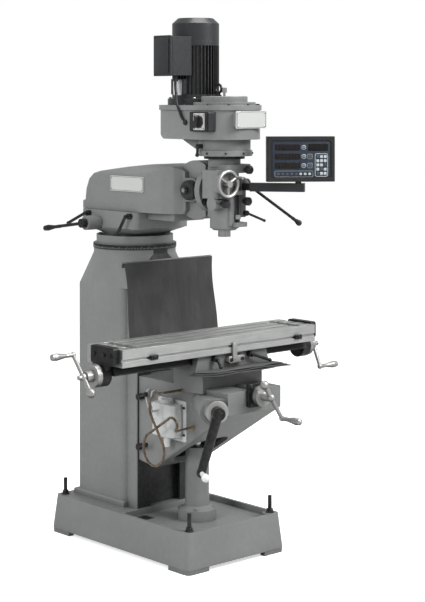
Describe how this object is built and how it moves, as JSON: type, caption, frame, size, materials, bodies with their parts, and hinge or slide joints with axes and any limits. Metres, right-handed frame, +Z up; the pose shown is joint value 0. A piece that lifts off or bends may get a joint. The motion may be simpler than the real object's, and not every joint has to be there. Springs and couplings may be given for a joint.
{
  "type": "vertical milling machine",
  "caption": "Knee-type vertical milling machine with swivelling turret, sliding ram, tilting belt-drive head, T-slot table on cross slides, and a digital readout.",
  "frame": {"origin": "on the floor, at the centre of the base", "axes": "+X to the operator's right, along the table; +Y from the operator to the column; +Z up"},
  "size_m": [1.436, 1.251, 2.172],
  "materials": {
    "bearing_steel": "polished bearing rings",
    "belt_rubber": "belt rubber",
    "black_plastic": "moulded black plastic",
    "black_rubber": "folded rubber sheet with a dull sheen",
    "black_steel": "blackened steel with an oil film",
    "dark_enamel": "charcoal enamel, satin",
    "grey_enamel": "grey machine enamel over a lightly textured casting",
    "light_castings": "pale silver enamel on cranks and dials",
    "lubricator_plate": "pale lubricator body",
    "machined": "ground and scraped surfaces with fine grain",
    "oil_tube": "clear tube holding brown oil",
    "plate": "pale plate, no lettering"
  },
  "bodies": {
    "base": {"base": "grey_enamel", "leveling_bolts": "black_steel", "column": "grey_enamel", "column_door": "grey_enamel", "screw_pedestal": "grey_enamel", "turret_scale": "black_steel", "splash_bar": "machined", "splash_sheet": "black_rubber"},
    "turret": {"turret": "grey_enamel", "turret_bolts": "black_steel"},
    "ram": {"ram": "grey_enamel", "ram_badge": "plate", "nod_pivot": "dark_enamel"},
    "ram_pinion_lever": {"ram_pinion_lever": "black_steel"},
    "ram_lock_front": {"ram_lock_front": "black_steel"},
    "ram_lock_rear": {"ram_lock_rear": "black_steel"},
    "adapter": {"head_adapter": "grey_enamel"},
    "head": {"head_casting": "grey_enamel", "head_fasteners": "black_steel", "gear_housing": "grey_enamel", "belt_housing": "grey_enamel", "belt_cover": "grey_enamel", "head_badge": "plate", "motor_body": "dark_enamel", "motor_fan_cover": "dark_enamel", "terminal_box": "dark_enamel", "drive_belt": "belt_rubber", "switch_box": "black_plastic", "depth_stop_screw": "black_steel", "feed_knobs": "black_plastic", "dro_arm": "dark_enamel", "dro_display": "black_plastic"},
    "rotor": {"motor_rotor": "machined"},
    "driven_pulley": {"spindle_pulley": "machined"},
    "switch": {"switch_knob": "black_plastic"},
    "brake": {"spindle_brake_lever": "black_plastic"},
    "quill": {"quill": "machined", "spindle_bearings": "bearing_steel"},
    "spindle": {"spindle": "machined"},
    "quill_lever": {"quill_feed_lever": "black_steel"},
    "handwheel": {"feed_handwheel": "light_castings"},
    "quill_lock": {"quill_lock_lever": "black_steel"},
    "stop_nut": {"depth_stop_nut": "machined"},
    "knee": {"knee": "grey_enamel", "lubricator": "lubricator_plate", "oil_lines": "oil_tube", "cross_feed_bracket": "black_steel"},
    "knee_lock_upper": {"knee_lock_upper": "black_steel"},
    "knee_lock_lower": {"knee_lock_lower": "black_steel"},
    "knee_crank": {"knee_crank": "black_steel"},
    "lift_screw": {"elevating_screw": "machined"},
    "cross_screw": {"cross_screw": "light_castings"},
    "saddle": {"saddle": "grey_enamel", "saddle_fittings": "black_steel"},
    "table_lock_left": {"table_lock_left": "black_steel"},
    "table_lock_right": {"table_lock_right": "black_steel"},
    "table": {"table": "machined", "table_end_brackets": "black_steel", "table_stop_dogs": "black_steel"},
    "table_screw": {"table_screw": "light_castings"}
  },
  "joints": [
    {"name": "turret_swivel", "type": "hinge", "parent": "base", "child": "turret", "pos_m": [0, 0.201, 1.236], "axis": [0, 0, 1], "range_deg": [-180, 180]},
    {"name": "ram_slide", "type": "slide", "parent": "turret", "child": "ram", "axis": [0, 1, 0], "range_m": [-0.15, 0.15]},
    {"name": "ram_pinion", "type": "hinge", "parent": "turret", "child": "ram_pinion_lever", "pos_m": [-0.2, 0.26, 1.322], "axis": [1, 0, 0], "range_deg": [-431.7, 431.7]},
    {"name": "ram_lock_front_turn", "type": "hinge", "parent": "turret", "child": "ram_lock_front", "pos_m": [-0.16, 0.045, 1.358], "axis": [1, 0, 0], "range_deg": [0, 60]},
    {"name": "ram_lock_rear_turn", "type": "hinge", "parent": "turret", "child": "ram_lock_rear", "pos_m": [-0.16, 0.32, 1.358], "axis": [1, 0, 0], "range_deg": [0, 60]},
    {"name": "head_nod", "type": "hinge", "parent": "ram", "child": "adapter", "pos_m": [0, -0.235, 1.476], "axis": [1, 0, 0], "range_deg": [-20, 20]},
    {"name": "head_roll", "type": "hinge", "parent": "adapter", "child": "head", "pos_m": [0, -0.298, 1.476], "axis": [0, 1, 0], "range_deg": [-90, 90]},
    {"name": "motor_spin", "type": "hinge", "parent": "head", "child": "rotor", "pos_m": [0, -0.191, 1.75], "axis": [0, 0, 1], "continuous": true},
    {"name": "pulley_spin", "type": "hinge", "parent": "head", "child": "driven_pulley", "pos_m": [0, -0.365, 1.72], "axis": [0, 0, 1], "continuous": true},
    {"name": "switch_turn", "type": "hinge", "parent": "head", "child": "switch", "pos_m": [-0.16, -0.394, 1.755], "axis": [-1, 0, 0], "range_deg": [-60, 60]},
    {"name": "brake_swing", "type": "hinge", "parent": "head", "child": "brake", "pos_m": [-0.11, -0.345, 1.656], "axis": [-1, 0, 0], "range_deg": [-40, 40]},
    {"name": "quill_feed", "type": "slide", "parent": "head", "child": "quill", "axis": [0, 0, -1], "range_m": [0, 0.127]},
    {"name": "spindle_spin", "type": "hinge", "parent": "quill", "child": "spindle", "pos_m": [0, -0.365, 1.31], "axis": [0, 0, 1], "continuous": true},
    {"name": "quill_lever_turn", "type": "hinge", "parent": "head", "child": "quill_lever", "pos_m": [0.09, -0.385, 1.5], "axis": [1, 0, 0], "range_deg": [0, 251]},
    {"name": "handwheel_spin", "type": "hinge", "parent": "head", "child": "handwheel", "pos_m": [-0.072, -0.44, 1.509], "axis": [0, -1, 0], "continuous": true},
    {"name": "quill_lock_turn", "type": "hinge", "parent": "head", "child": "quill_lock", "pos_m": [0.052, -0.435, 1.388], "axis": [0, -1, 0], "range_deg": [0, 60]},
    {"name": "stop_nut_travel", "type": "slide", "parent": "head", "child": "stop_nut", "axis": [0, 0, 1], "range_m": [0, 0.07]},
    {"name": "knee_lift", "type": "slide", "parent": "base", "child": "knee", "axis": [0, 0, 1], "range_m": [-0.06858, 0.3302], "deforming": ["splash_sheet"]},
    {"name": "knee_crank_spin", "type": "hinge", "parent": "knee", "child": "knee_crank", "pos_m": [-0.2028, -0.5448, 0.642], "axis": [-0.507, -0.862, 0], "range_deg": [-9740, 46820]},
    {"name": "lift_screw_spin", "type": "hinge", "parent": "knee", "child": "lift_screw", "pos_m": [0, -0.2, 0.6], "axis": [0, 0, 1], "range_deg": [-4880, 23420]},
    {"name": "knee_lock_upper_turn", "type": "hinge", "parent": "knee", "child": "knee_lock_upper", "pos_m": [-0.15, -0.022, 0.624], "axis": [-1, 0, 0], "range_deg": [-20, 40]},
    {"name": "knee_lock_lower_turn", "type": "hinge", "parent": "knee", "child": "knee_lock_lower", "pos_m": [-0.15, -0.022, 0.419], "axis": [-1, 0, 0], "range_deg": [-20, 40]},
    {"name": "cross_slide", "type": "slide", "parent": "knee", "child": "saddle", "axis": [0, 1, 0], "range_m": [-0.05, 0.125]},
    {"name": "cross_screw_spin", "type": "hinge", "parent": "knee", "child": "cross_screw", "pos_m": [0, -0.6, 0.685], "axis": [0, 1, 0], "range_deg": [-3563.3, 8878.3]},
    {"name": "table_lock_left_turn", "type": "hinge", "parent": "saddle", "child": "table_lock_left", "pos_m": [-0.105, -0.425, 0.822], "axis": [0, -1, 0], "range_deg": [-40, 40]},
    {"name": "table_lock_right_turn", "type": "hinge", "parent": "saddle", "child": "table_lock_right", "pos_m": [0.085, -0.425, 0.822], "axis": [0, -1, 0], "range_deg": [0, 35]},
    {"name": "table_slide", "type": "slide", "parent": "saddle", "child": "table", "axis": [1, 0, 0], "range_m": [-0.23876, 0.254]},
    {"name": "table_screw_spin", "type": "hinge", "parent": "table", "child": "table_screw", "pos_m": [0, -0.3275, 0.804], "axis": [1, 0, 0], "range_deg": [-16940, 18020]}
  ],
  "couplings": [
    {"joint": "ram_pinion", "follows": "ram_slide", "rad_per_m": 50},
    {"joint": "pulley_spin", "follows": "motor_spin", "ratio": 1},
    {"joint": "spindle_spin", "follows": "motor_spin", "ratio": 1},
    {"joint": "quill_lever_turn", "follows": "quill_feed", "rad_per_m": 34.357},
    {"joint": "knee_crank_spin", "follows": "knee_lift", "rad_per_m": 2473.7},
    {"joint": "lift_screw_spin", "follows": "knee_lift", "rad_per_m": 1236.8},
    {"joint": "cross_screw_spin", "follows": "cross_slide", "rad_per_m": 1236.8},
    {"joint": "table_screw_spin", "follows": "table_slide", "rad_per_m": 1236.8}
  ]
}
